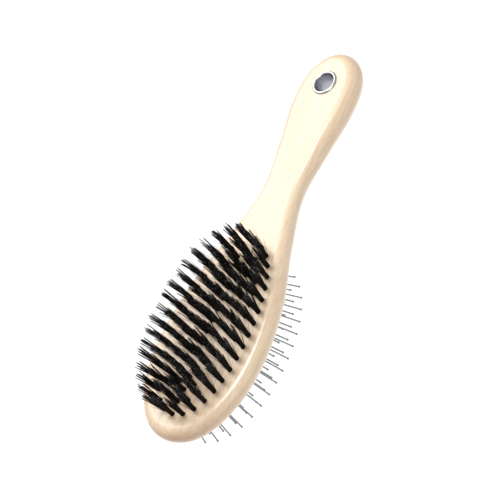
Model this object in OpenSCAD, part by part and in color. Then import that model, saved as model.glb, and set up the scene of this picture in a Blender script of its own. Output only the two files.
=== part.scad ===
// Double-sided grooming brush: bristle tufts on one face, steel pins in an air cushion on the other.
// X runs from the toe of the head (-X) to the end of the handle (+X), Y across, +Z out of the bristle face.
// The origin lies under the middle of the brush, level with the lowest pin tip.

/* [Wooden body] */
// Overall length
body_len = 220; // [200:1:240]
// Width of the head at its widest
head_w = 66; // [62:0.5:72]
// Thickness of the head
head_t = 10.6; // [10.4:0.1:12]
// Thickness of the neck
neck_t = 9.5; // [8:0.1:12]
// Thickness of the handle round the hanging hole
handle_t = 12.7; // [11:0.1:14]

/* [Bristle tufts] */
// Length of bristle above the wood
tuft_len = 17.6; // [12:0.1:22]
// Radius of a drilled tuft hole
hole_r = 1.2; // [1:0.05:1.5]
// Depth of a drilled tuft hole
hole_depth = 4.8; // [4:0.1:5]
// Radius of a tuft at its tip
tuft_tip_r = 1.9; // [1.3:0.05:2.2]
// Distance between the oval rings of tufts
tuft_pitch = 6.7; // [6:0.1:6.8]

/* [Cushion] */
// Half length of the opening that the cushion bulges through
pocket_a = 48; // [46:0.5:48]
// Half width of that opening
pocket_b = 26.6; // [25.6:0.1:26.6]
// Depth of the pocket
pocket_depth = 4.3; // [4.2:0.1:4.4]
// Height of the cushion's crown above the back face
dome_h = 4.2; // [3.5:0.1:5]
// Thickness of the rubber
rubber_t = 1.2; // [1:0.1:1.4]
// Thickness of the cloth liner
cloth_t = 0.6; // [0.4:0.1:0.7]

/* [Pins] */
// Length of a pin above the rubber
pin_len = 16.3; // [12:0.1:18]
// Radius of the pin wire
pin_r = 0.42; // [0.35:0.01:0.5]
// Radius of the ball on a pin's tip
ball_r = 0.75; // [0.6:0.05:0.9]
// Distance between the oval rings of pins
pin_pitch = 4.6; // [4.4:0.1:4.8]

/* [Hanging eyelet] */
// Inner radius of the eyelet
eyelet_r = 5.15; // [4.5:0.05:5.5]
// Distance of the eyelet's centre from the end of the handle
eyelet_inset = 20; // [18:0.5:24]

/* [Hidden] */
LEFT = 1;
RIGHT = -1;

// Wooden body: half widths as shares of the widest, at equal steps of the angle that gives x
width_shares = [0, 0.411, 0.728, 0.947, 1, 0.878, 0.589, 0.376, 0.45, 0.553, 0.514, 0.297, 0];
knots = len(width_shares) - 1;
outline_steps = 60;
round_steps = 10;
shoulder_x = 0;
neck_x = 0.125 * body_len;
seat_x = 0.33 * body_len;

// Bristle field: centre, half sizes of the outer ring, tufts per ring and each ring's turn in tufts
tuft_cx = -50.6;
tuft_a = 47.5;
tuft_b = 22.9;
tuft_counts = [36, 30, 24, 18];
tuft_turns = [0.12, 0.15, 0.08, 0.08];
tuft_r = hole_r - 0.05;
anchor = [2.8, 0.4, 1.8];
anchor_lift = 0.3;
slot_gap = 0.05;

// Pin field: pins lean to the handle and spread with the crown of the cushion
pin_cx = -52.5;
pin_a = 43;
pin_b = 23.2;
pin_counts = [36, 30, 24, 20, 14];
pin_turns = [0.7, 0.75, 0.6, 0.75, 0.5];
pin_rake = 4.6;
pin_spread_x = 0.48;
pin_spread_y = 1;
head_r = 1.1;
head_h = 0.4;

oval_power = 2.15;
oval_steps = 56;
dome_steps = 8;
gap = 0.3;
lip_t = 1.5;
undercut = 1.2;
bond = 0.05;
wall_t = 1.0;

// Eyelet: a flanged barrel, rolled over a washer on the back
barrel_t = 0.5;
flange_r = 7.0;
flange_h = 0.9;
washer_t = 0.5;
roll_h = 0.55;
bore_r = eyelet_r + barrel_t + 0.1;
eyelet_x = body_len / 2 - eyelet_inset;

back_z = -head_t / 2;
rest_z = -min([for (ring = [0 : len(pin_counts) - 1]) for (p = pin_ring(ring)) pin_tip_z(p)]);

// ---- Curves ----
function clamp01(t) = max(0, min(1, t));
function ease(a, b, x) = let (t = clamp01((x - a) / (b - a))) t * t * (3 - 2 * t);

function knot(i) =
  let (k = (i + 2 * knots) % (2 * knots))
  k <= knots ? width_shares[k] : -width_shares[2 * knots - k];

function spline(a, b, c, d, t) =
  b + t * (c - a) / 2 + t * t * (a - 2.5 * b + 2 * c - d / 2) + t * t * t * (1.5 * (b - c) + (d - a) / 2);

// Outline of the body, once round as u goes from 0 at the toe, along +Y, to 2 * knots
function half_width(u) =
  let (i = floor(u), t = u - i)
  head_w / 2 * spline(knot(i - 1), knot(i), knot(i + 1), knot(i + 2), t);
function outline(u) = [-body_len / 2 * cos(180 * u / knots), half_width(u)];
function outward(u) =
  let (d = outline(u + 0.01) - outline(u - 0.01))
  [-d.y, d.x] / norm(d);

function half_thickness(x) =
  x < neck_x
    ? head_t / 2 + (neck_t - head_t) / 2 * ease(shoulder_x, neck_x, x)
    : neck_t / 2 + (handle_t - neck_t) / 2 * ease(neck_x, seat_x, x);

// Oval with slightly square shoulders, t in degrees from the toe end
function power(v) = sign(v) * pow(abs(v), 2 / oval_power);
function oval(a, b, t) = [-a * power(cos(t)), b * power(sin(t))];
function oval_ring(a, b) = [for (i = [0 : oval_steps - 1]) oval(a, b, 360 * (i + 0.5) / oval_steps)];

// Angles against distance along an oval, for spacing things evenly along it
function travelled(points) = [
  for (i = 0, s = 0; i < len(points); s = s + norm(points[(i + 1) % len(points)] - points[i]), i = i + 1) s
];
function spaced_oval(count, turn, a, b, cx) =
  let (
    angles = [0 : 2 : 360],
    points = [for (t = angles) oval(a, b, t)],
    along = travelled(points),
    table = [for (i = [0 : len(points) - 1]) [along[i], 2 * i]],
    whole = along[len(points) - 1]
  )
  [for (i = [0 : count - 1]) [cx, 0] + oval(a, b, lookup(whole * (i + turn) / count, table))];

function on_side(points, side) = [
  for (p = points) if (side * p.y > 0.01 || (side == LEFT && abs(p.y) <= 0.01)) p
];
function tuft_ring(ring) = spaced_oval(
  tuft_counts[ring], tuft_turns[ring], tuft_a - ring * tuft_pitch, tuft_b - ring * tuft_pitch, tuft_cx
);
function pin_ring(ring) = spaced_oval(
  pin_counts[ring], pin_turns[ring], pin_a - ring * pin_pitch, pin_b - ring * pin_pitch, pin_cx
);

// Height of the cushion's outer skin below the back face, at a share of the way from crown to edge
function crown(share) = dome_h * (1 - share * share);
function crown_at(p) =
  crown(min(1, norm([(p.x - pin_cx) / (pocket_a - gap), p.y / (pocket_b - gap)])));
function pin_way(p) =
  let (
    lean = pin_rake + pin_spread_x * (p.x - pin_cx),
    splay = pin_spread_y * p.y,
    d = [tan(lean), tan(splay), -1]
  )
  d / norm(d);
function pin_tip_z(p) = back_z - crown_at(p) + (pin_len - ball_r) * pin_way(p).z - ball_r;

// ---- Building blocks ----
module body_blank() {
  n = 2 * outline_steps;
  m = round_steps + 1;
  points = [
    for (i = [0 : n - 1])
      let (
        u = knots * i / outline_steps,
        edge = outline(u),
        out = outward(u),
        r = half_thickness(edge.x)
      )
      for (k = [0 : round_steps])
        let (a = 180 * k / round_steps - 90, p = edge - out * r * (1 - cos(a)))
        [p.x, p.y, r * sin(a)]
  ];
  sides = [for (i = [0 : n - 1]) for (k = [0 : round_steps - 1])
    [i * m + k, i * m + k + 1, ((i + 1) % n) * m + k + 1, ((i + 1) % n) * m + k]];
  top = [for (i = [0 : outline_steps - 1]) cap_strip(i, n, m, round_steps)];
  bottom = [for (i = [0 : outline_steps - 1]) reverse(cap_strip(i, n, m, 0))];
  polyhedron(points, concat(sides, top, bottom), convexity = 6);
}

// A strip of flat face from station i to the next, across the body
function cap_strip(i, n, m, k) =
  i == 0 ? [k, (n - 1) * m + k, m + k]
  : i == outline_steps - 1 ? [i * m + k, (n - i) * m + k, (i + 1) * m + k]
  : [i * m + k, (n - i) * m + k, (n - i - 1) * m + k, (i + 1) * m + k];
function reverse(list) = [for (i = [len(list) - 1 : -1 : 0]) list[i]];

// An oval shell: each station of the profile is [half length, half width, z]
module oval_shell(profile) {
  n = oval_steps;
  rows = len(profile) - 2;
  points = concat(
    [[0, 0, profile[0].z]],
    [for (j = [1 : rows]) for (p = oval_ring(profile[j].x, profile[j].y)) [p.x, p.y, profile[j].z]],
    [[0, 0, profile[rows + 1].z]]
  );
  first = [for (i = [0 : n - 1]) [0, 1 + (i + 1) % n, 1 + i]];
  walls = [for (j = [0 : rows - 2]) for (i = [0 : n - 1])
    [1 + j * n + i, 1 + j * n + (i + 1) % n, 1 + (j + 1) * n + (i + 1) % n, 1 + (j + 1) * n + i]];
  last = [for (i = [0 : n - 1]) [1 + (rows - 1) * n + i, 1 + (rows - 1) * n + (i + 1) % n, 1 + rows * n]];
  translate([pin_cx, 0, back_z]) polyhedron(points, concat(first, walls, last), convexity = 4);
}

module oval_cut(grow, z_low, z_high) {
  translate([pin_cx, 0, z_low])
    linear_extrude(z_high - z_low) polygon(oval_ring(pocket_a + grow, pocket_b + grow));
}

module tuft() {
  difference() {
    union() {
      translate([0, 0, bond - hole_depth]) cylinder(h = hole_depth - bond, r = tuft_r, $fn = 24);
      cylinder(h = tuft_len, r1 = tuft_r, r2 = tuft_tip_r, $fn = 24);
    }
    translate([-hole_r - 1, -anchor.y / 2 - slot_gap, -hole_depth - 1])
      cube([2 * hole_r + 2, anchor.y + 2 * slot_gap, anchor_lift + anchor.z + slot_gap + 1]);
  }
}

module tufts(ring, side) {
  color("#1b1a1c")
    for (p = on_side(tuft_ring(ring), side))
      translate([p.x, p.y, rest_z + head_t / 2]) tuft();
}

module anchors(ring) {
  color("silver")
    for (p = tuft_ring(ring))
      translate([p.x - anchor.x / 2, p.y - anchor.y / 2, rest_z + head_t / 2 - hole_depth + anchor_lift])
        cube(anchor);
}

// A headed pin along +Z, its foot at the origin on the skin of the cushion
module pin() {
  depth = rubber_t + cloth_t + 3 * bond + 0.15;
  translate([0, 0, -depth]) cylinder(h = depth + pin_len - ball_r, r = pin_r, $fn = 16);
  translate([0, 0, -depth - head_h]) cylinder(h = head_h, r = head_r, $fn = 20);
  translate([0, 0, pin_len - ball_r]) sphere(r = ball_r, $fn = 20);
}

module pins(ring, side) {
  color("#9a9da1")
    for (p = on_side(pin_ring(ring), side)) {
      way = pin_way(p);
      translate([p.x, p.y, rest_z + back_z - crown_at(p)])
        rotate([0, acos(way.z), atan2(way.y, way.x)])
          pin();
    }
}

// ---- Sub-parts ----
module wooden_body() {
  color("#f0dcb4")
    translate([0, 0, rest_z])
      difference() {
        body_blank();
        for (ring = [0 : len(tuft_counts) - 1])
          for (p = tuft_ring(ring))
            translate([p.x, p.y, head_t / 2 - hole_depth]) cylinder(h = hole_depth + 1, r = hole_r, $fn = 24);
        oval_cut(0, back_z - 1, back_z + lip_t + 0.5);
        oval_cut(undercut, back_z + lip_t, back_z + pocket_depth);
        translate([eyelet_x, 0, -handle_t]) cylinder(h = 2 * handle_t, r = bore_r, $fn = 64);
      }
}

module eyelet() {
  top = handle_t / 2 + bond;
  bottom = -handle_t / 2 - washer_t - 2 * bond;
  middle = (eyelet_r + flange_r) / 2;
  half = (flange_r - eyelet_r) / 2;
  roll_middle = eyelet_r + 0.8;
  flange = [for (a = [0 : 15 : 180]) [middle + half * cos(a), top + flange_h * sin(a)]];
  roll = [for (a = [180 : 20 : 360]) [roll_middle + 0.8 * cos(a), bottom + roll_h * sin(a)]];
  color("#d4d6da")
    translate([eyelet_x, 0, rest_z])
      rotate_extrude($fn = 96)
        polygon(concat(flange, roll, [[eyelet_r + barrel_t, bottom], [eyelet_r + barrel_t, top]]));
}

module eyelet_washer() {
  color("#c8cace")
    translate([eyelet_x, 0, rest_z - handle_t / 2 - washer_t - bond])
      difference() {
        cylinder(h = washer_t, r = flange_r, $fn = 96);
        translate([0, 0, -1]) cylinder(h = washer_t + 2, r = bore_r, $fn = 96);
      }
}

// Rubber skin with a beaded rim that sits in the undercut of the pocket
module cushion_pad() {
  edge = -gap;
  bead = undercut - gap;
  bead_top = lip_t + gap;
  bead_floor = pocket_depth - gap;
  outer = [for (j = [0 : dome_steps])
    let (s = j / dome_steps) [s * (pocket_a + edge), s * (pocket_b + edge), -crown(s)]];
  inner_a = pocket_a + edge - wall_t;
  inner_b = pocket_b + edge - wall_t;
  inner = [for (j = [dome_steps : -1 : 0])
    let (s = j / dome_steps) [s * inner_a, s * inner_b, rubber_t - crown(s)]];
  rim = [
    [pocket_a + edge, pocket_b + edge, bead_top],
    [pocket_a + bead, pocket_b + bead, bead_top],
    [pocket_a + bead, pocket_b + bead, bead_floor],
    [inner_a, inner_b, bead_floor]
  ];
  color("#2a2a2c") translate([0, 0, rest_z]) oval_shell(concat(outer, rim, inner));
}

// Cloth bonded to the inside of the rubber, under the heads of the pins
module cushion_liner() {
  reach = 0.94;
  a = pocket_a - gap - wall_t;
  b = pocket_b - gap - wall_t;
  top = rubber_t + bond;
  near = [for (j = [0 : dome_steps])
    let (s = reach * j / dome_steps) [s * a, s * b, top - crown(s)]];
  far = [for (j = [dome_steps : -1 : 0])
    let (s = reach * j / dome_steps) [s * a, s * b, top + cloth_t - crown(s)]];
  color("#8c8478") translate([0, 0, rest_z]) oval_shell(concat(near, far));
}

module bristles_ring_1_left() tufts(0, LEFT);
module bristles_ring_1_right() tufts(0, RIGHT);
module bristles_ring_2_left() tufts(1, LEFT);
module bristles_ring_2_right() tufts(1, RIGHT);
module bristles_ring_3_left() tufts(2, LEFT);
module bristles_ring_3_right() tufts(2, RIGHT);
module bristles_ring_4_left() tufts(3, LEFT);
module bristles_ring_4_right() tufts(3, RIGHT);

module anchors_ring_1() anchors(0);
module anchors_ring_2() anchors(1);
module anchors_ring_3() anchors(2);
module anchors_ring_4() anchors(3);

module pins_ring_1_left() pins(0, LEFT);
module pins_ring_1_right() pins(0, RIGHT);
module pins_ring_2_left() pins(1, LEFT);
module pins_ring_2_right() pins(1, RIGHT);
module pins_ring_3_left() pins(2, LEFT);
module pins_ring_3_right() pins(2, RIGHT);
module pins_ring_4_left() pins(3, LEFT);
module pins_ring_4_right() pins(3, RIGHT);
module pins_ring_5_left() pins(4, LEFT);
module pins_ring_5_right() pins(4, RIGHT);

wooden_body();
eyelet();
eyelet_washer();
bristles_ring_1_left();
bristles_ring_1_right();
bristles_ring_2_left();
bristles_ring_2_right();
bristles_ring_3_left();
bristles_ring_3_right();
bristles_ring_4_left();
bristles_ring_4_right();
anchors_ring_1();
anchors_ring_2();
anchors_ring_3();
anchors_ring_4();
cushion_pad();
cushion_liner();
pins_ring_1_left();
pins_ring_1_right();
pins_ring_2_left();
pins_ring_2_right();
pins_ring_3_left();
pins_ring_3_right();
pins_ring_4_left();
pins_ring_4_right();
pins_ring_5_left();
pins_ring_5_right();
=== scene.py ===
# %% [markdown]
# # A double-sided grooming brush
# The brush is one piece of pale wood. One face is drilled and filled with black bristle, and the other has
# an air cushion with steel pins. A metal eyelet near the end of the handle lets it hang on a hook. The
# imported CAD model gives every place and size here, and these cells build the pieces that are seen.

# %% Load the frame
import math
import random

import bmesh
import bpy
from mathutils import Matrix, Vector


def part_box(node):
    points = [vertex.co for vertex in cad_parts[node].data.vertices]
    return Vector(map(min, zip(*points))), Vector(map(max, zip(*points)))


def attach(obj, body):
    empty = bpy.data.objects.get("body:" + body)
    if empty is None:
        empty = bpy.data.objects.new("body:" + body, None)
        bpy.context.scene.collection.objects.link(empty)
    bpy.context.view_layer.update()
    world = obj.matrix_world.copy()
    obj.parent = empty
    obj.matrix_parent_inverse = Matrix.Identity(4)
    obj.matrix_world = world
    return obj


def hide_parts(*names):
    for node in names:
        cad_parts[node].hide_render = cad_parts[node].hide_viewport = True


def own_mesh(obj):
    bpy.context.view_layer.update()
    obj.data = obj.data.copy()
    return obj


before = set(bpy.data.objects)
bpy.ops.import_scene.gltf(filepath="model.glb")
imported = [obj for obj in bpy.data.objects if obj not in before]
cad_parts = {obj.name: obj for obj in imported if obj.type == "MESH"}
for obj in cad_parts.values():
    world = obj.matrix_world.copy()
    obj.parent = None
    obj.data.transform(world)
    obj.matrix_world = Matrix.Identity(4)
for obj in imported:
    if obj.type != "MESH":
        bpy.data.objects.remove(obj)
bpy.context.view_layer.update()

# %% [markdown]
# ## Sizes
# Blender works in metres here, and a brush is easier to think of in millimetres, so MM turns one into the
# other. What the CAD nodes can tell is read from their boxes. The rest repeats the design's own driving
# sizes.

# %% Sizes
MM = 0.001
wood_low, wood_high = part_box("wooden_body")
_, tuft_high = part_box("bristles_ring_1_left")
eyelet_low, eyelet_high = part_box("eyelet")

HALF_LENGTH = wood_high.x
HALF_WIDTH = 33 * MM
MID_Z = (wood_low.z + wood_high.z) / 2
HEAD_T, NECK_T, HANDLE_T = 10.6 * MM, 9.5 * MM, wood_high.z - wood_low.z
FACE_Z = MID_Z + HEAD_T / 2
BACK_Z = MID_Z - HEAD_T / 2
TUFT_LEN = tuft_high.z - FACE_Z
EYELET_X = (eyelet_low.x + eyelet_high.x) / 2
print("bristle face at", round(FACE_Z / MM, 2), "mm, back face at", round(BACK_Z / MM, 2), "mm")

# %% [markdown]
# ## From a bmesh to a piece
# A bmesh is Blender's workbench for a mesh: operators cut, spin and extrude it, and then it is written to a
# mesh that an object shows. Every piece goes through this one helper, so each gets a material, a body to
# ride on, and smooth shading that stays crisp where faces meet at more than a given angle.

# %% Finish a piece
def finish_mesh(name, bm, crisp=35):
    mesh = bpy.data.meshes.new(name)
    bm.to_mesh(mesh)
    bm.free()
    for face in mesh.polygons:
        face.use_smooth = True
    mesh.set_sharp_from_angle(angle=math.radians(crisp))
    return mesh


def show(name, mesh, material, body, stands_for=()):
    mesh.materials.clear()
    mesh.materials.append(material)
    piece = bpy.data.objects.new(name, mesh)
    bpy.context.scene.collection.objects.link(piece)
    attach(piece, body)
    if stands_for:
        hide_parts(*stands_for)
    print(name, len(mesh.polygons), "faces")
    return piece


# %% [markdown]
# ## Material helper
# A material is a small graph of nodes. This helper makes the graph's ends, the shader and the output, and
# gives back a function that adds a node with its settings, so that each finish below reads as a short
# recipe.

# %% Material helper
def new_material(name, colour, roughness, metallic=0.0, coat=0.0, coat_roughness=0.1, specular=0.5):
    material = bpy.data.materials.new(name)
    material.use_nodes = True
    material.diffuse_color = (*colour, 1)
    nodes, links = material.node_tree.nodes, material.node_tree.links
    shader = nodes["Principled BSDF"]
    shader.inputs["Base Color"].default_value = (*colour, 1)
    shader.inputs["Roughness"].default_value = roughness
    shader.inputs["Metallic"].default_value = metallic
    shader.inputs["Coat Weight"].default_value = coat
    shader.inputs["Coat Roughness"].default_value = coat_roughness
    shader.inputs["Specular IOR Level"].default_value = specular

    def add(kind, **settings):
        node = nodes.new(kind)
        for key, value in settings.items():
            if key in node.inputs:
                node.inputs[key].default_value = value
            else:
                setattr(node, key.lower(), value)
        return node

    def join(source, output, target, socket):
        links.new(source.outputs[output], target.inputs[socket])

    return material, shader, add, join


def stretched_noise(add, join, stretch, scale, detail=4.0, roughness=0.55):
    """Noise on Object coordinates, drawn out by dividing each axis by its stretch."""
    place = add("ShaderNodeTexCoord")
    squeeze = add("ShaderNodeMapping")
    squeeze.inputs["Scale"].default_value = tuple(1 / s for s in stretch)
    noise = add("ShaderNodeTexNoise", Scale=scale, Detail=detail, Roughness=roughness)
    join(place, "Object", squeeze, "Vector")
    join(squeeze, "Vector", noise, "Vector")
    return noise


def ramp(add, join, source, stops):
    """Colours along a value from 0 to 1: stops is a list of (value, colour)."""
    node = add("ShaderNodeValToRGB")
    elements = node.color_ramp.elements
    while len(elements) < len(stops):
        elements.new(0.5)
    for element, (value, colour) in zip(elements, stops):
        element.position = value
        element.color = (*colour, 1)
    join(source, "Fac", node, "Fac")
    return node


def mix(add, join, first, second, factor, blend="MIX"):
    """A Mix node for colours; factor is a number or a node with a Color output."""
    node = add("ShaderNodeMix")
    node.data_type, node.blend_type = "RGBA", blend
    join(first, 2 if first.bl_idname == "ShaderNodeMix" else "Color", node, 6)
    join(second, "Color", node, 7)
    if isinstance(factor, float):
        node.inputs[0].default_value = factor
    else:
        join(factor, "Color", node, 0)
    return node


def bump(add, join, shader, height, distance, strength):
    node = add("ShaderNodeBump", Distance=distance, Strength=strength)
    join(height, "Color" if "Color" in height.outputs else "Fac", node, "Height")
    join(node, "Normal", shader, "Normal")


# %% [markdown]
# ## Wood
# The body is a pale close-grained wood under a clear satin lacquer. Close-grained wood shows long, faint
# bands along the handle, fine streaks within them, and short darker flecks. Each is a noise drawn out along
# X, the way the tree grew. End grain, where the surface looks along the handle, soaks up the finish and
# turns darker and pinker, so the X of the surface's own direction mixes in that tint. Part of that tint is
# painted shade, which darkens the toe and the handle's end. The lacquer is the shader's coat: a clear film
# with its own, smoother roughness.

# %% Wood material
def lacquered_wood():
    pale, warm, fleck = (0.87, 0.70, 0.505), (0.80, 0.61, 0.42), (0.48, 0.32, 0.19)
    material, shader, add, join = new_material("lacquered_wood", pale, 0.38, coat=0.9, coat_roughness=0.2)
    bands = stretched_noise(add, join, (9, 1, 1), 90, detail=3)
    streaks = stretched_noise(add, join, (30, 1, 1), 800, detail=5, roughness=0.6)
    dashes = stretched_noise(add, join, (8, 1, 1), 1500, detail=2)
    broad = ramp(add, join, bands, [(0.3, pale), (0.7, warm)])
    fine = ramp(add, join, streaks, [(0.38, (1, 1, 1)), (0.72, (0.86, 0.79, 0.70))])
    short = ramp(add, join, dashes, [(0.64, (0, 0, 0)), (0.76, (0.45, 0.45, 0.45))])
    grain = mix(add, join, broad, fine, 0.85, "MULTIPLY")
    flecks = add("ShaderNodeRGB")
    flecks.outputs[0].default_value = (*fleck, 1)
    flecked = mix(add, join, grain, flecks, short)
    place, way = add("ShaderNodeTexCoord"), add("ShaderNodeSeparateXYZ")
    join(place, "Normal", way, "Vector")
    steep = add("ShaderNodeMath", operation="POWER")
    steep.inputs[1].default_value = 2
    join(way, "X", steep, 0)
    # Darker and pinker where the surface faces along X: end-grain tone and painted shade at the two ends.
    end_grain_and_shade = add("ShaderNodeValToRGB")
    end_grain_and_shade.color_ramp.elements[0].color = (1, 1, 1, 1)
    end_grain_and_shade.color_ramp.elements[1].color = (0.74, 0.61, 0.57, 1)
    join(steep, "Value", end_grain_and_shade, "Fac")
    colour = mix(add, join, flecked, end_grain_and_shade, 1.0, "MULTIPLY")
    join(colour, 2, shader, "Base Color")
    bump(add, join, shader, streaks, 0.0001, 0.12)
    return material


WOOD = lacquered_wood()
print(WOOD.name, "has", len(WOOD.node_tree.nodes), "nodes")

# %% [markdown]
# ## Metal
# There are four metals. The eyelet's flange is plated and almost a mirror, the inside of its barrel is
# dull, the pins are polished wire with fine drawing marks, and the staple wire in the wood is bare. They
# share a recipe with a different grey and roughness. A faint noise in the roughness keeps the highlights
# from looking like plastic.

# %% Metal materials
def metal(name, colour, low, high, scale, marks):
    material, shader, add, join = new_material(name, colour, (low + high) / 2, metallic=1.0)
    wear = stretched_noise(add, join, (1, 1, 1), scale, detail=3)
    spread = add("ShaderNodeMapRange")
    spread.inputs["To Min"].default_value, spread.inputs["To Max"].default_value = low, high
    join(wear, "Fac", spread, "Value")
    join(spread, "Result", shader, "Roughness")
    dull = tuple(0.86 * c for c in colour)
    tint = ramp(add, join, wear, [(0.35, colour), (0.8, dull)])
    join(tint, "Color", shader, "Base Color")
    bump(add, join, shader, wear, 0.00002, marks)
    return material


NICKEL = metal("nickel_plate", (0.62, 0.62, 0.64), 0.08, 0.2, 500, 0.05)
PIN_STEEL = metal("pin_steel", (0.46, 0.47, 0.49), 0.22, 0.36, 1800, 0.1)
BARREL_STEEL = metal("barrel_steel", (0.46, 0.47, 0.50), 0.2, 0.34, 900, 0.1)
BARE_WIRE = metal("bare_wire", (0.55, 0.54, 0.52), 0.3, 0.5, 2500, 0.2)
print("metals:", [m.name for m in (NICKEL, PIN_STEEL, BARREL_STEEL, BARE_WIRE)])

# %% [markdown]
# ## Bristle, rubber and cloth
# Bristle is black with a brown cast where light gets through it, and each hair differs a little. A noise
# that is finer than a tuft gives that. Near the tips, where the hairs are cut, small pale specks are painted
# in: they are painted glints, for the light that the cut ends catch. The rubber is matt with a soft bloom,
# and the liner under it is a plain canvas, whose over and under threads come from two sets of stripes.

# %% Soft materials
# Where the painted glints near the tips begin and reach full strength, as shares of a tuft's length.
GLINTS_START, GLINTS_FULL = 0.55, 0.8


def black_bristle():
    # The pale grey is a painted glint colour for the cut hair ends.
    black, brown, painted_glint = (0.0025, 0.0025, 0.003), (0.007, 0.005, 0.004), (0.34, 0.34, 0.36)
    material, shader, add, join = new_material("black_bristle", black, 0.34, specular=0.12)
    hairs = stretched_noise(add, join, (1, 1, 12), 2600, detail=2)
    tone = ramp(add, join, hairs, [(0.4, black), (0.75, brown)])
    # Pale specks near the tips: painted glints, not a colour of the hair.
    glint_noise = stretched_noise(add, join, (1, 1, 1.5), 1700, detail=1)
    painted_glints = ramp(add, join, glint_noise, [(0.58, black), (0.66, painted_glint)])
    place, split = add("ShaderNodeTexCoord"), add("ShaderNodeSeparateXYZ")
    join(place, "Object", split, "Vector")
    glint_height = add("ShaderNodeMapRange")
    glint_height.inputs["From Min"].default_value = FACE_Z + GLINTS_START * TUFT_LEN
    glint_height.inputs["From Max"].default_value = FACE_Z + GLINTS_FULL * TUFT_LEN
    join(split, "Z", glint_height, "Value")
    colour = mix(add, join, tone, painted_glints, 0.0, "ADD")
    join(glint_height, "Result", colour, 0)
    join(colour, 2, shader, "Base Color")
    gloss = add("ShaderNodeMapRange")
    gloss.inputs["To Min"].default_value, gloss.inputs["To Max"].default_value = 0.26, 0.45
    join(hairs, "Fac", gloss, "Value")
    join(gloss, "Result", shader, "Roughness")
    return material


def black_rubber():
    colour, bloom = (0.018, 0.018, 0.019), (0.04, 0.04, 0.042)
    material, shader, add, join = new_material("black_rubber", colour, 0.6, specular=0.4)
    cloud = stretched_noise(add, join, (1, 1, 1), 160, detail=6)
    tone = ramp(add, join, cloud, [(0.4, colour), (0.8, bloom)])
    join(tone, "Color", shader, "Base Color")
    grit = stretched_noise(add, join, (1, 1, 1), 5000, detail=2)
    bump(add, join, shader, grit, 0.00004, 0.25)
    return material


def canvas():
    thread, gap = (0.50, 0.46, 0.38), (0.20, 0.18, 0.14)
    material, shader, add, join = new_material("canvas", thread, 0.9, specular=0.2)
    place = add("ShaderNodeTexCoord")
    warp = add("ShaderNodeTexWave", bands_direction="X", Scale=900.0, Distortion=0.6)
    weft = add("ShaderNodeTexWave", bands_direction="Y", Scale=900.0, Distortion=0.6)
    for stripes in (warp, weft):
        join(place, "Object", stripes, "Vector")
    weave = mix(add, join, warp, weft, 1.0, "MULTIPLY")
    tone = add("ShaderNodeValToRGB")
    tone.color_ramp.elements[0].color, tone.color_ramp.elements[1].color = (*gap, 1), (*thread, 1)
    join(weave, 2, tone, "Fac")
    join(tone, "Color", shader, "Base Color")
    bump(add, join, shader, tone, 0.0002, 0.5)
    return material


BRISTLE = black_bristle()
RUBBER = black_rubber()
CANVAS = canvas()
print("soft:", [m.name for m in (BRISTLE, RUBBER, CANVAS)])

# %% [markdown]
# ## The outline of the body
# A brush maker cuts the body to a template: an oval head, a waist, and a swelling for the palm. A few half
# widths, at equal steps of an angle that gives the length, hold the whole curve, and a spline runs through
# them. The angle packs the steps closer at the two ends, where the outline turns fastest.

# %% Outline
WIDTH_SHARES = (0, 0.411, 0.728, 0.947, 1, 0.878, 0.589, 0.376, 0.45, 0.553, 0.514, 0.297, 0)
KNOTS = len(WIDTH_SHARES) - 1
NECK_X, SEAT_X = 0.25 * HALF_LENGTH, 0.66 * HALF_LENGTH


def knot(i):
    k = i % (2 * KNOTS)
    return WIDTH_SHARES[k] if k <= KNOTS else -WIDTH_SHARES[2 * KNOTS - k]


def outline(u):
    """The body's edge, as a spline: u goes once round, from 0 at the toe, along +Y, to 2 * KNOTS."""
    i = math.floor(u)
    a, b, c, d, t = knot(i - 1), knot(i), knot(i + 1), knot(i + 2), u - i
    bend = b + t * (c - a) / 2 + t * t * (a - 2.5 * b + 2 * c - d / 2) + t**3 * (1.5 * (b - c) + (d - a) / 2)
    return Vector((-HALF_LENGTH * math.cos(math.pi * u / KNOTS), HALF_WIDTH * bend, 0))


def outward(u):
    along = outline(u + 0.01) - outline(u - 0.01)
    return Vector((-along.y, along.x, 0)).normalized()


def ease(low, high, x):
    t = max(0, min(1, (x - low) / (high - low)))
    return t * t * (3 - 2 * t)


def half_thickness(x):
    if x < NECK_X:
        return (HEAD_T + (NECK_T - HEAD_T) * ease(0, NECK_X, x)) / 2
    return (NECK_T + (HANDLE_T - NECK_T) * ease(NECK_X, SEAT_X, x)) / 2


print("half width at the middle", round(outline(KNOTS // 2).y / MM, 1), "mm")

# %% [markdown]
# ## Rings of holes
# Tufts and pins stand in concentric ovals with slightly square shoulders, spaced evenly along each oval.
# Even steps of an angle would crowd them at the ends, so the oval is walked in short chords, the distance
# is added up, and each place is looked up by its share of the whole way round.

# %% Ovals
OVAL_POWER = 2.15
ON_AXIS = 0.01 * MM


def oval(a, b, degrees):
    c, s = math.cos(math.radians(degrees)), math.sin(math.radians(degrees))
    x = -a * math.copysign(abs(c) ** (2 / OVAL_POWER), c)
    return Vector((x, b * math.copysign(abs(s) ** (2 / OVAL_POWER), s), 0))


def spaced_oval(count, turn, a, b, centre_x, step=2):
    chords = [(oval(a, b, t + step) - oval(a, b, t)).length for t in range(0, 360, step)]
    whole, places = sum(chords), []
    for i in range(count):
        left = (whole * (i + turn) / count) % whole
        t = 0
        while left > chords[t]:
            left -= chords[t]
            t += 1
        places.append(Vector((centre_x, 0, 0)) + oval(a, b, step * (t + left / chords[t])))
    return places


def on_side(places, side):
    """The places on one side. One that lies on the middle line counts as left."""
    return [p for p in places if side * p.y > ON_AXIS or (side > 0 and abs(p.y) <= ON_AXIS)]


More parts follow.
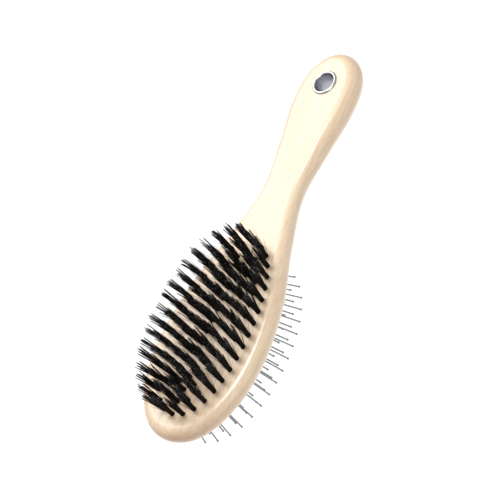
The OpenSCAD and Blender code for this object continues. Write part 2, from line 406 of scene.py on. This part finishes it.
TUFT_COUNTS, TUFT_TURNS = (36, 30, 24, 18), (0.12, 0.15, 0.08, 0.08)
TUFT_CX, TUFT_A, TUFT_B, TUFT_PITCH = -50.6 * MM, 47.5 * MM, 22.9 * MM, 6.7 * MM
PIN_COUNTS, PIN_TURNS = (36, 30, 24, 20, 14), (0.7, 0.75, 0.6, 0.75, 0.5)
PIN_CX = -52.5 * MM
PIN_A_MM, PIN_B_MM, PIN_PITCH_MM = 43, 23.2, 4.6


def tuft_ring(ring):
    inset = ring * TUFT_PITCH
    return spaced_oval(TUFT_COUNTS[ring], TUFT_TURNS[ring], TUFT_A - inset, TUFT_B - inset, TUFT_CX)


def pin_ring(ring):
    a, b = (PIN_A_MM - PIN_PITCH_MM * ring) * MM, (PIN_B_MM - PIN_PITCH_MM * ring) * MM
    return spaced_oval(PIN_COUNTS[ring], PIN_TURNS[ring], a, b, PIN_CX)


print(sum(TUFT_COUNTS), "tufts and", sum(PIN_COUNTS), "pins")

# %% [markdown]
# ## The wooden body
# The edge is rounded right through, so a cut across the body is a flat strip with two half-round ends. It
# could be a bevelled slab, but a bevel is one width all round and this body is thicker at the palm. Here
# the first loop of edges lies on the back face, and each extrusion carries it a little further round the
# edge, until it reaches the front face. Bridging the two long sides then closes each face with strips that
# lie flat, all but a sliver at each end, about 0.05 mm across. Those four slivers stay open, and the count
# of open edges shows them: it is 12, where a closed solid has 0.

# %% Loop by loop
def loft(bm, rings):
    """Extrudes a closed loop of edges through rings of positions, and returns the loops of edges it made."""
    verts = [bm.verts.new(p) for p in rings[0]]
    count = len(verts)
    loops = [[bm.edges.new((verts[i], verts[(i + 1) % count])) for i in range(count)]]
    for ring in rings[1:]:
        grown = bmesh.ops.extrude_edge_only(bm, edges=loops[-1])["geom"]
        fresh = {v for v in grown if isinstance(v, bmesh.types.BMVert)}
        moved = [next(e.other_vert(v) for e in v.link_edges if e.other_vert(v) in fresh) for v in verts]
        for vert, place in zip(moved, ring):
            vert.co = place
        verts = moved
        loops.append([bm.edges.get((verts[i], verts[(i + 1) % count])) for i in range(count)])
    return loops


OUTLINE_STEPS, ROUND_STEPS, FLAT_RIM = 96, 20, 0.5 * MM


def body_ring(angle, inset=0.0):
    ring = []
    for i in range(2 * OUTLINE_STEPS):
        u = KNOTS * i / OUTLINE_STEPS
        edge, r = outline(u), half_thickness(outline(u).x)
        place = edge - outward(u) * (r * (1 - math.cos(angle)) + inset)
        ring.append(Vector((place.x, place.y, MID_Z + r * math.sin(angle))))
    return ring


def body_blank():
    bm = bmesh.new()
    turns = [math.pi * k / ROUND_STEPS - math.pi / 2 for k in range(ROUND_STEPS + 1)]
    rings = [body_ring(turns[0], FLAT_RIM)] + [body_ring(a) for a in turns] + [body_ring(turns[-1], FLAT_RIM)]
    loops = loft(bm, rings)
    for loop in (loops[0], loops[-1]):
        left = loop[1 : OUTLINE_STEPS - 1]
        right = loop[OUTLINE_STEPS + 1 : 2 * OUTLINE_STEPS - 1]
        bmesh.ops.bridge_loops(bm, edges=left + right)
    bmesh.ops.recalc_face_normals(bm, faces=bm.faces)
    print("blank: open edges", sum(e.is_boundary for e in bm.edges))
    return bm


# %% [markdown]
# ## Drilling
# The tuft holes, the pocket for the cushion and the bore for the eyelet are cut with boolean modifiers, as
# a drill and a router would cut them. Each cutter is a closed solid of its own, made from Blender's cone
# and from loops, and every tuft hole has a slight countersink so that its rim catches the light.

# %% Cutters
HOLE_R, HOLE_DEPTH, SINK, HOLE_SIDES = 1.2 * MM, 4.8 * MM, 0.2 * MM, 16
POCKET_A, POCKET_B, POCKET_DEPTH = 48 * MM, 26.6 * MM, 4.3 * MM
LIP_T, UNDERCUT = 1.5 * MM, 1.2 * MM
BORE_R, BORE_SIDES = 5.75 * MM, 64


def drills():
    """A countersunk drill for every tuft, all in one bmesh."""
    bm = bmesh.new()
    profile = [(HOLE_R, FACE_Z - HOLE_DEPTH), (HOLE_R, FACE_Z - SINK), (HOLE_R + 2 * SINK, FACE_Z + SINK)]
    turns = [2 * math.pi * k / HOLE_SIDES for k in range(HOLE_SIDES)]
    for ring in range(len(TUFT_COUNTS)):
        for place in tuft_ring(ring):
            circles = [
                [Vector((place.x + r * math.cos(a), place.y + r * math.sin(a), z)) for a in turns]
                for r, z in profile
            ]
            loops = loft(bm, circles)
            bmesh.ops.holes_fill(bm, edges=loops[0] + loops[-1], sides=HOLE_SIDES)
    bmesh.ops.recalc_face_normals(bm, faces=bm.faces)
    return bm


OVAL_STEPS = 120


def oval_loop(a, b, z):
    return [Vector((PIN_CX, 0, z)) + oval(a, b, 360 * (i + 0.5) / OVAL_STEPS) for i in range(OVAL_STEPS)]


def router():
    """The pocket's opening and the wider undercut behind its lip, as one stepped solid."""
    bm = bmesh.new()
    soft = 0.3 * MM
    steps = [
        (2 * soft, -2 * soft), (soft, 0), (0, soft), (0, LIP_T),
        (UNDERCUT, LIP_T), (UNDERCUT, POCKET_DEPTH - soft), (UNDERCUT - soft, POCKET_DEPTH),
    ]
    loops = loft(bm, [oval_loop(POCKET_A + grow, POCKET_B + grow, BACK_Z + z) for grow, z in steps])
    bmesh.ops.holes_fill(bm, edges=loops[0] + loops[-1], sides=OVAL_STEPS)
    bmesh.ops.recalc_face_normals(bm, faces=bm.faces)
    return bm


def eyelet_drill():
    bm = bmesh.new()
    bmesh.ops.create_cone(
        bm, cap_ends=True, cap_tris=False, segments=BORE_SIDES,
        radius1=BORE_R, radius2=BORE_R, depth=2 * HANDLE_T, matrix=Matrix.Translation((EYELET_X, 0, MID_Z)),
    )
    return bm


# %% [markdown]
# ## Cutting
# Each cutter is taken away from the blank by a boolean modifier. The exact solver is slower than the fast
# one, but it copes better with cutters that nearly share a face with the body. The result is kept as a
# plain mesh and the cutters are thrown away. The open edges are counted again. The cuts add none if the
# count is still the blank's 12.

# %% Cut the body
def carve(mesh, cutters):
    """The mesh less each cutter in turn."""
    blank = bpy.data.objects.new("blank", mesh)
    bpy.context.scene.collection.objects.link(blank)
    tools = []
    for number, bm in enumerate(cutters):
        shape = bpy.data.meshes.new(f"cutter_{number}")
        bm.to_mesh(shape)
        bm.free()
        tool = bpy.data.objects.new(f"cutter_{number}", shape)
        bpy.context.scene.collection.objects.link(tool)
        cut = blank.modifiers.new(f"cut_{number}", "BOOLEAN")
        cut.operation, cut.object, cut.solver = "DIFFERENCE", tool, "EXACT"
        tools.append(tool)
    graph = bpy.context.evaluated_depsgraph_get()
    carved = bpy.data.meshes.new_from_object(blank.evaluated_get(graph))
    for leftover in [blank, *tools]:
        bpy.data.objects.remove(leftover)
    return carved


carved = carve(finish_mesh("blank", body_blank()), [drills(), router(), eyelet_drill()])
bm = bmesh.new()
bm.from_mesh(carved)
bmesh.ops.remove_doubles(bm, verts=bm.verts, dist=0.002 * MM)
print("carved: open edges", sum(not e.is_manifold for e in bm.edges))
show("wood_body", finish_mesh("wood_body", bm, 32), WOOD, "brush", ["wooden_body"])

# %% [markdown]
# ## The eyelet
# An eyelet is turned and drawn from thin sheet: a barrel with a flange rolled outwards at the front, pushed
# through the wood, and curled over a washer at the back. Everything about it is round, so one cut through
# the wall is drawn as a short chain of edges and spun right round the hole's axis. The faces that line the
# bore take a duller metal, from a second material slot.

# %% Eyelet
EYELET_R, BARREL_T, FLANGE_R = 5.15 * MM, 0.5 * MM, 7.0 * MM
FLANGE_H, CURL_R, CURL_H = 0.88 * MM, 0.8 * MM, 0.55 * MM
WASHER_T, HAIR_GAP = 0.5 * MM, 0.05 * MM


def spun(profile, centre, steps=96):
    """A closed profile of (radius, z) turned once round the vertical through centre."""
    bm = bmesh.new()
    verts = [bm.verts.new((centre.x + r, centre.y, z)) for r, z in profile]
    edges = [bm.edges.new((verts[i], verts[(i + 1) % len(verts)])) for i in range(len(verts))]
    bmesh.ops.spin(
        bm, geom=verts + edges, cent=centre, axis=(0, 0, 1), angle=2 * math.pi,
        steps=steps, use_merge=True, use_duplicate=False,
    )
    bmesh.ops.remove_doubles(bm, verts=bm.verts, dist=0.001 * MM)
    bmesh.ops.recalc_face_normals(bm, faces=bm.faces)
    return bm


def arc(centre_r, centre_z, half, height, start, end, steps):
    """Points of (radius, z) along part of an ellipse, from start to end in degrees."""
    return [
        (centre_r + half * math.cos(math.radians(a)), centre_z + height * math.sin(math.radians(a)))
        for a in (start + (end - start) * k / steps for k in range(steps + 1))
    ]


def eyelet_profile():
    top, bottom = MID_Z + HANDLE_T / 2 + HAIR_GAP, MID_Z - HANDLE_T / 2 - WASHER_T - 2 * HAIR_GAP
    middle, half = (EYELET_R + FLANGE_R) / 2, (FLANGE_R - EYELET_R) / 2
    flange = arc(middle, top, half, FLANGE_H, 0, 180, 18)
    curl = arc(EYELET_R + CURL_R, bottom, CURL_R, CURL_H, 180, 360, 14)
    outside = [(EYELET_R + BARREL_T, bottom), (EYELET_R + BARREL_T, top)]
    return flange + curl + outside


eyelet_at = Vector((EYELET_X, 0, 0))
mesh = finish_mesh("hanging_eyelet", spun(eyelet_profile(), eyelet_at), 40)
eyelet = show("hanging_eyelet", mesh, NICKEL, "brush", ["eyelet"])
eyelet.data.materials.append(BARREL_STEEL)
for face in eyelet.data.polygons:
    lines_the_bore = math.hypot(face.center.x - EYELET_X, face.center.y) < EYELET_R + 0.1 * MM
    upright = abs(face.normal.z) < 0.5
    face.material_index = int(lines_the_bore and upright)

# %% [markdown]
# ## The washer
# The washer is a flat ring on the back of the handle, and the eyelet's curl lies over it. It could be two
# circles bridged together, but spinning a cut through it, like the eyelet's, gives it softened edges as
# well.

# %% Washer
washer_z = MID_Z - HANDLE_T / 2 - HAIR_GAP
soft_edge = 0.12 * MM
washer_profile = [
    (BORE_R, washer_z), (BORE_R, washer_z - WASHER_T + soft_edge), (BORE_R + soft_edge, washer_z - WASHER_T),
    (FLANGE_R - 2 * soft_edge, washer_z - WASHER_T), (FLANGE_R, washer_z - WASHER_T + 2 * soft_edge),
    (FLANGE_R, washer_z),
]
mesh = finish_mesh("eyelet_washer_ring", spun(washer_profile, eyelet_at), 50)
show("eyelet_washer_ring", mesh, NICKEL, "brush", ["eyelet_washer"])

# %% [markdown]
# ## Bristle tufts
# A tuft is a bundle of hairs, folded in half over a flat wire and driven to the bottom of its hole. The
# wood squeezes it there and it spreads towards its tip. Only the part that can be seen is made here, from
# just below the hole's mouth. Its hairs draw together in small clumps of unequal length, which gives the
# tuft its ragged end, and a few strays stand off on their own. The whole face is combed a little to one
# side, and the tufts fan out slightly. Each hair is a thin curve, because a curve's thickness can taper
# point by point, and all of a ring's curves then become one mesh.

# %% Hairs
# How many clumps, hairs in a clump and strays make a tuft, and the size of a hair
CLUMPS, CLUMP_HAIRS, STRAYS = 12, 8, 6
HAIR_R, HAIR_POINTS, TIP_THICK, STRAY_THICK = 0.12 * MM, 5, 0.5, 0.6
# How deep a tuft starts, its radius at the root and the tip, and how the root's radius is shared out
ROOT_DEPTH, ROOT_R, TIP_R = 0.6 * MM, 1.08 * MM, 2.05 * MM
CLUMP_ROOT, HAIR_ROOT = 0.8, 0.3
# Lengths, as shares of the tuft's: most clumps are long, the rest are short
LONG_CHANCE, LONG, SHORT = 0.7, (0.93, 1.02), (0.72, 0.93)
HAIR_LENGTH, STRAY_LENGTH = (0.95, 1.0), (0.6, 1.0)
# How far the tips spread: a clump's is a share of the tip's radius, the rest are in millimetres
CLUMP_FLARE, HAIR_FLARE, STRAY_FLARE = (0.9, 1.15), (0.12, 0.34), (2.3, 4.2)
CLUMP_SHIFT, TUFT_SHIFT = 0.15, 0.35
# How far the tips lean: all of them, more towards the ends, and more towards the sides
COMBED = Vector((0.5, -0.4, 0)) * MM
FAN_ALONG = Vector((0.5, 0, 0)) * MM
FAN_ACROSS = Vector((-0.8, 2.0, 0)) * MM
FAN_LEFT = 1.4
# How much a hair bends outwards on its way up, and the golden angle in radians
BOW = 0.2
GOLDEN = 2.39996


def spread_out(number, count):
    """The place of a number in an even disc of radius 1."""
    share = math.sqrt((number + 0.5) / count)
    return Vector((math.cos(number * GOLDEN), math.sin(number * GOLDEN), 0)) * share


def hair(spot, root, tip, length):
    """Points along one hair, from root to tip, both measured from the tuft's own axis."""
    points = []
    for k in range(HAIR_POINTS):
        t = k / (HAIR_POINTS - 1)
        points.append(spot + root.lerp(tip, (1 - BOW) * t + BOW * t * t) + Vector((0, 0, t * length)))
    return points


def tuft(spot, lean, dice):
    """Points and thickness of each hair of one tuft."""
    hairs = []
    for number in range(CLUMPS):
        centre = spread_out(number, CLUMPS)
        clump_tip = centre * TIP_R * dice.uniform(*CLUMP_FLARE) + lean
        clump_tip += Vector((dice.gauss(0, CLUMP_SHIFT), dice.gauss(0, CLUMP_SHIFT), 0)) * MM
        share = LONG if dice.random() < LONG_CHANCE else SHORT
        reach = TUFT_LEN * dice.uniform(*share)
        for k in range(CLUMP_HAIRS):
            local = spread_out(k, CLUMP_HAIRS)
            root = centre * CLUMP_ROOT * ROOT_R + local * HAIR_ROOT * ROOT_R
            tip = clump_tip + local * dice.uniform(*HAIR_FLARE) * MM
            hairs.append((hair(spot, root, tip, reach * dice.uniform(*HAIR_LENGTH)), 1.0))
    for _ in range(STRAYS):
        way = Matrix.Rotation(dice.uniform(0, 2 * math.pi), 3, "Z") @ Vector((1, 0, 0))
        tip = way * dice.uniform(*STRAY_FLARE) * MM + lean
        hairs.append((hair(spot, way * ROOT_R, tip, TUFT_LEN * dice.uniform(*STRAY_LENGTH)), STRAY_THICK))
    return hairs


def tufts_mesh(name, places, seed):
    """One mesh of every hair of the tufts at places. The same seed gives the same hairs."""
    dice = random.Random(seed)
    curve = bpy.data.curves.new(name, "CURVE")
    curve.dimensions, curve.bevel_depth, curve.bevel_resolution = "3D", HAIR_R, 0
    curve.use_fill_caps = True
    for place in places:
        spot = Vector((place.x, place.y, FACE_Z - ROOT_DEPTH))
        across = place.y / TUFT_B * (FAN_LEFT if place.y > 0 else 1)
        lean = COMBED + FAN_ALONG * (place.x - TUFT_CX) / TUFT_A + FAN_ACROSS * across
        lean += Vector((dice.gauss(0, TUFT_SHIFT), dice.gauss(0, TUFT_SHIFT), 0)) * MM
        for points, thick in tuft(spot, lean, dice):
            spline = curve.splines.new("POLY")
            spline.points.add(HAIR_POINTS - 1)
            spline.points.foreach_set("co", [c for p in points for c in (*p, 1)])
            along = [k / (HAIR_POINTS - 1) for k in range(HAIR_POINTS)]
            taper = [thick * (1 - (1 - TIP_THICK) * t**2) for t in along]
            spline.points.foreach_set("radius", taper)
    holder = bpy.data.objects.new(name + "_curve", curve)
    bpy.context.scene.collection.objects.link(holder)
    graph = bpy.context.evaluated_depsgraph_get()
    mesh = bpy.data.meshes.new_from_object(holder.evaluated_get(graph))
    bpy.data.objects.remove(holder)
    for face in mesh.polygons:
        face.use_smooth = True
    return mesh


SIDES = (("left", 1), ("right", -1))
SEED_STEP = 17
for ring in range(len(TUFT_COUNTS)):
    for side, sign in SIDES:
        places = on_side(tuft_ring(ring), sign)
        mesh = tufts_mesh(f"tufts_ring_{ring + 1}_{side}", places, SEED_STEP * ring + sign)
        show(mesh.name, mesh, BRISTLE, "brush", [f"bristles_ring_{ring + 1}_{side}"])

# %% [markdown]
# ## Anchors
# The flat wire anchors lie at the bottom of the tuft holes, where nobody sees them. The CAD nodes already
# have their true shape, so they stay as they are and only take the bare wire finish.

# %% Anchors
for ring in range(len(TUFT_COUNTS)):
    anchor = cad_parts[f"anchors_ring_{ring + 1}"]
    anchor.data.materials.clear()
    anchor.data.materials.append(BARE_WIRE)
    print(anchor.name, "keeps its CAD shape")

# %% [markdown]
# ## The cushion
# The cushion is a rubber skin, moulded as a low dome with a bead round its rim, and the bead snaps behind
# the lip of the pocket. The skin is lofted in loops from near the crown out to the bead and back along the
# inside. Every pin comes out through a small raised collar, which a mould leaves so that the rubber doesn't
# tear.

# %% Cushion
GAP, WALL_T, RUBBER_T, DOME_H = 0.3 * MM, 1.0 * MM, 1.2 * MM, 4.2 * MM
RUBBER_A, RUBBER_B = POCKET_A - GAP, POCKET_B - GAP
LEAN, LEAN_PER_MM, SPLAY_PER_MM = 4.6, 0.48, 1.0  # degrees


def crown(share):
    return DOME_H * (1 - share * share)


def crown_at(place):
    return crown(min(1, math.hypot((place.x - PIN_CX) / RUBBER_A, place.y / RUBBER_B)))


def pin_way(place):
    """The direction of the pin there: pins lean to the handle and fan out with the dome."""
    lean = math.radians(LEAN + LEAN_PER_MM * (place.x - PIN_CX) / MM)
    splay = math.radians(SPLAY_PER_MM * place.y / MM)
    return Vector((math.tan(lean), math.tan(splay), -1)).normalized()


def dome_loops(a, b, lift, shares):
    return [oval_loop(a * s, b * s, BACK_Z - crown(s) + lift) for s in shares]


def close_crown(bm, loop, z):
    """Fills the small loop round the crown with a fan and sets its centre's height."""
    face = bmesh.ops.holes_fill(bm, edges=loop, sides=OVAL_STEPS)["faces"]
    centre = bmesh.ops.poke(bm, faces=face)["verts"][0]
    centre.co.z = z


def cushion_mesh():
    bm = bmesh.new()
    shares = [0.05] + [k / 20 for k in range(2, 21)]
    bead, bead_top, bead_floor = UNDERCUT - GAP, LIP_T + GAP, POCKET_DEPTH - GAP
    soft = 0.25 * MM
    rim = [
        (-GAP, bead_top - soft), (bead - soft, bead_top), (bead, bead_top + soft),
        (bead, bead_floor - soft), (bead - soft, bead_floor), (-GAP - WALL_T, bead_floor),
    ]
    rings = dome_loops(RUBBER_A, RUBBER_B, 0, shares)
    rings += [oval_loop(POCKET_A + grow, POCKET_B + grow, BACK_Z + z) for grow, z in rim]
    rings += dome_loops(RUBBER_A - WALL_T, RUBBER_B - WALL_T, RUBBER_T, shares[::-1])
    loops = loft(bm, rings)
    close_crown(bm, loops[0], BACK_Z - DOME_H)
    close_crown(bm, loops[-1], BACK_Z - DOME_H + RUBBER_T)
    bmesh.ops.recalc_face_normals(bm, faces=bm.faces)
    print("cushion: open edges", sum(e.is_boundary for e in bm.edges))
    return bm


# %% [markdown]
# ## Turned small parts
# Pins and collars repeat more than a hundred times, so each is spun once with few faces, and copies of that
# one mesh are turned to their own direction and set at their own place.

# %% Pins and collars
PIN_R, BALL_R, PIN_LEN = 0.42 * MM, 0.66 * MM, 16.3 * MM
HEAD_R, HEAD_H, SHANK_IN = 1.1 * MM, 0.4 * MM, 2.1 * MM


def turned(profile, steps):
    """An open profile of (radius, z) from pole to pole, spun round Z into a closed solid."""
    bm = bmesh.new()
    verts = [bm.verts.new((r, 0, z)) for r, z in profile]
    edges = [bm.edges.new(pair) for pair in zip(verts, verts[1:])]
    bmesh.ops.spin(
        bm, geom=verts + edges, cent=(0, 0, 0), axis=(0, 0, 1), angle=2 * math.pi,
        steps=steps, use_merge=True, use_duplicate=False,
    )
    bmesh.ops.remove_doubles(bm, verts=bm.verts, dist=0.001 * MM)
    bmesh.ops.recalc_face_normals(bm, faces=bm.faces)
    mesh = bpy.data.meshes.new("master")
    bm.to_mesh(mesh)
    bm.free()
    return mesh


def pin_profile():
    """A flat head inside the cushion, a straight shank, and a ball on the tip."""
    ball = PIN_LEN - BALL_R
    head = [(0, -SHANK_IN - HEAD_H), (HEAD_R, -SHANK_IN - HEAD_H), (HEAD_R, -SHANK_IN), (PIN_R, -SHANK_IN)]
    neck = math.degrees(math.asin(PIN_R / BALL_R))
    tip = [
        (BALL_R * math.sin(math.radians(a)), ball - BALL_R * math.cos(math.radians(a)))
        for a in (neck + (180 - neck) * k / 7 for k in range(7))
    ]
    return head + tip + [(0, PIN_LEN)]


def copies(bm, master, places):
    """Adds a copy of master at each place on the cushion's skin, turned along that pin's direction."""
    for place in places:
        before = len(bm.verts)
        bm.from_mesh(master)
        bm.verts.ensure_lookup_table()
        foot = Vector((place.x, place.y, BACK_Z - crown_at(place)))
        turn = pin_way(place).to_track_quat("Z", "Y").to_matrix().to_4x4()
        bmesh.ops.transform(bm, matrix=Matrix.Translation(foot) @ turn, verts=bm.verts[before:])


all_pins = [place for ring in range(len(PIN_COUNTS)) for place in pin_ring(ring)]
collar_profile = [
    (0, -0.5 * MM), (1.25 * MM, -0.5 * MM), (1.05 * MM, 0.12 * MM), (0.8 * MM, 0.3 * MM), (0, 0.3 * MM),
]
collar = turned(collar_profile, 12)
bm = cushion_mesh()
copies(bm, collar, all_pins)
mesh = finish_mesh("air_cushion", bm, 50)
cushion = show("air_cushion", mesh, RUBBER, "pin_pad", ["cushion_pad"])

pin = turned(pin_profile(), 10)
for ring in range(len(PIN_COUNTS)):
    for side, sign in SIDES:
        bm = bmesh.new()
        copies(bm, pin, on_side(pin_ring(ring), sign))
        name = f"steel_pins_ring_{ring + 1}_{side}"
        mesh = finish_mesh(name, bm, 50)
        show(name, mesh, PIN_STEEL, "pin_pad", [f"pins_ring_{ring + 1}_{side}"])

# %% [markdown]
# ## The liner
# A disc of canvas is bonded to the inside of the rubber, and the pins' flat heads pull against it. It is a
# thin dome that follows the skin, lofted outside and in, like the cushion but with no bead.

# %% Liner
LINER_SHARE = 0.94


def liner_mesh():
    bm = bmesh.new()
    cloth_t, bond = 0.6 * MM, 0.05 * MM
    shares = [LINER_SHARE * s for s in ([0.05] + [k / 16 for k in range(2, 17)])]
    a, b, low = RUBBER_A - WALL_T, RUBBER_B - WALL_T, RUBBER_T + bond
    rings = dome_loops(a, b, low, shares) + dome_loops(a, b, low + cloth_t, shares[::-1])
    loops = loft(bm, rings)
    close_crown(bm, loops[0], BACK_Z - DOME_H + low)
    close_crown(bm, loops[-1], BACK_Z - DOME_H + low + cloth_t)
    bmesh.ops.recalc_face_normals(bm, faces=bm.faces)
    return bm


mesh = finish_mesh("canvas_liner", liner_mesh(), 60)
liner = show("canvas_liner", mesh, CANVAS, "pin_pad", ["cushion_liner"])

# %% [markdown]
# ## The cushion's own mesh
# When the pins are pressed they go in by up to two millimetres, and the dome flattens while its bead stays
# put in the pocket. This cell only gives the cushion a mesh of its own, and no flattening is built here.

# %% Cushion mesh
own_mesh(cushion)

# %% [markdown]
# ## Stage and light
# The brush is shown the way a shop shows it, on white. A pale floor lies well below it and glows a little,
# like a light table, so that no hard shadow falls behind the pins. A small key light stands almost overhead
# and gives the tufts their soft shadows. A larger one, placed where the lacquer mirrors it towards the
# camera, lays a sheen on the wood. A weak one fills in from the front, and the pale surroundings do the
# rest.

# %% Stage
GLOW = 0.25
FLOOR_HALF, FLOOR_Z = 30, -0.3


def stage_floor():
    bm = bmesh.new()
    bmesh.ops.create_grid(bm, x_segments=1, y_segments=1, size=FLOOR_HALF)
    bmesh.ops.transform(bm, matrix=Matrix.Translation((0, 0, FLOOR_Z)), verts=bm.verts)
    mesh = finish_mesh("floor", bm)
    material, shader, add, join = new_material("floor_paper", (0.92, 0.92, 0.92), 0.9, specular=0.1)
    shader.inputs["Emission Color"].default_value = (1, 1, 1, 1)
    shader.inputs["Emission Strength"].default_value = GLOW
    mesh.materials.append(material)
    floor = bpy.data.objects.new("floor", mesh)
    bpy.context.scene.collection.objects.link(floor)


def soft_light(name, towards, distance, size, power):
    """A square area light that shines on the middle of the brush from the direction towards."""
    lamp = bpy.data.lights.new(name, "AREA")
    lamp.size, lamp.energy = size, power
    holder = bpy.data.objects.new(name, lamp)
    way = Vector(towards).normalized()
    holder.location = Vector((0, 0, MID_Z)) + way * distance
    holder.rotation_mode = "QUATERNION"
    holder.rotation_quaternion = way.to_track_quat("Z", "Y")
    bpy.context.scene.collection.objects.link(holder)


def surroundings(strength):
    world = bpy.data.worlds.new("surroundings")
    world.use_nodes = True
    world.node_tree.nodes["Background"].inputs["Color"].default_value = (1, 1, 1, 1)
    world.node_tree.nodes["Background"].inputs["Strength"].default_value = strength
    bpy.context.scene.world = world


stage_floor()
surroundings(0.48)
soft_light("key", towards=(0.124, 0.065, 0.99), distance=0.9, size=0.3, power=4.9)
soft_light("sheen", towards=(0.317, 0.646, 0.694), distance=0.9, size=0.6, power=3.5)
soft_light("fill", towards=(-0.3, -0.8, 0.5), distance=1.2, size=0.9, power=1.6)
bpy.context.scene.view_settings.view_transform = "Standard"
print("lights:", sorted(light.name for light in bpy.data.lights))

# %% [markdown]
# ## Camera
# A long lens from over a metre away keeps the brush's proportions, where a close wide lens would swell the
# near end. The camera is rolled so that the handle rises to the right, and it stands a little aside so that
# the brush sits in the middle of the picture.

# %% Camera
AZIMUTH, ELEVATION, ROLL = -26.12, 43.96, -46.47
DISTANCE, LENS = 1.222, 178.6
SHIFT_RIGHT, SHIFT_DOWN = 5.14 * MM, 3.33 * MM


def make_camera():
    a, e = math.radians(AZIMUTH), math.radians(ELEVATION)
    back = Vector((math.sin(a) * math.cos(e), -math.cos(a) * math.cos(e), math.sin(e)))
    level_right = Vector((0, 0, 1)).cross(back).normalized()
    right = Matrix.Rotation(math.radians(ROLL), 3, back) @ level_right
    up = back.cross(right)
    camera = bpy.data.objects.new("camera", bpy.data.cameras.new("camera"))
    camera.data.lens = LENS
    spot = Vector((0, 0, MID_Z)) + back * DISTANCE - right * SHIFT_RIGHT - up * SHIFT_DOWN
    camera.matrix_world = Matrix.Translation(spot) @ Matrix((right, up, back)).transposed().to_4x4()
    bpy.context.scene.collection.objects.link(camera)
    bpy.context.scene.camera = camera


make_camera()
print("camera", DISTANCE, "m away with a", LENS, "mm lens")
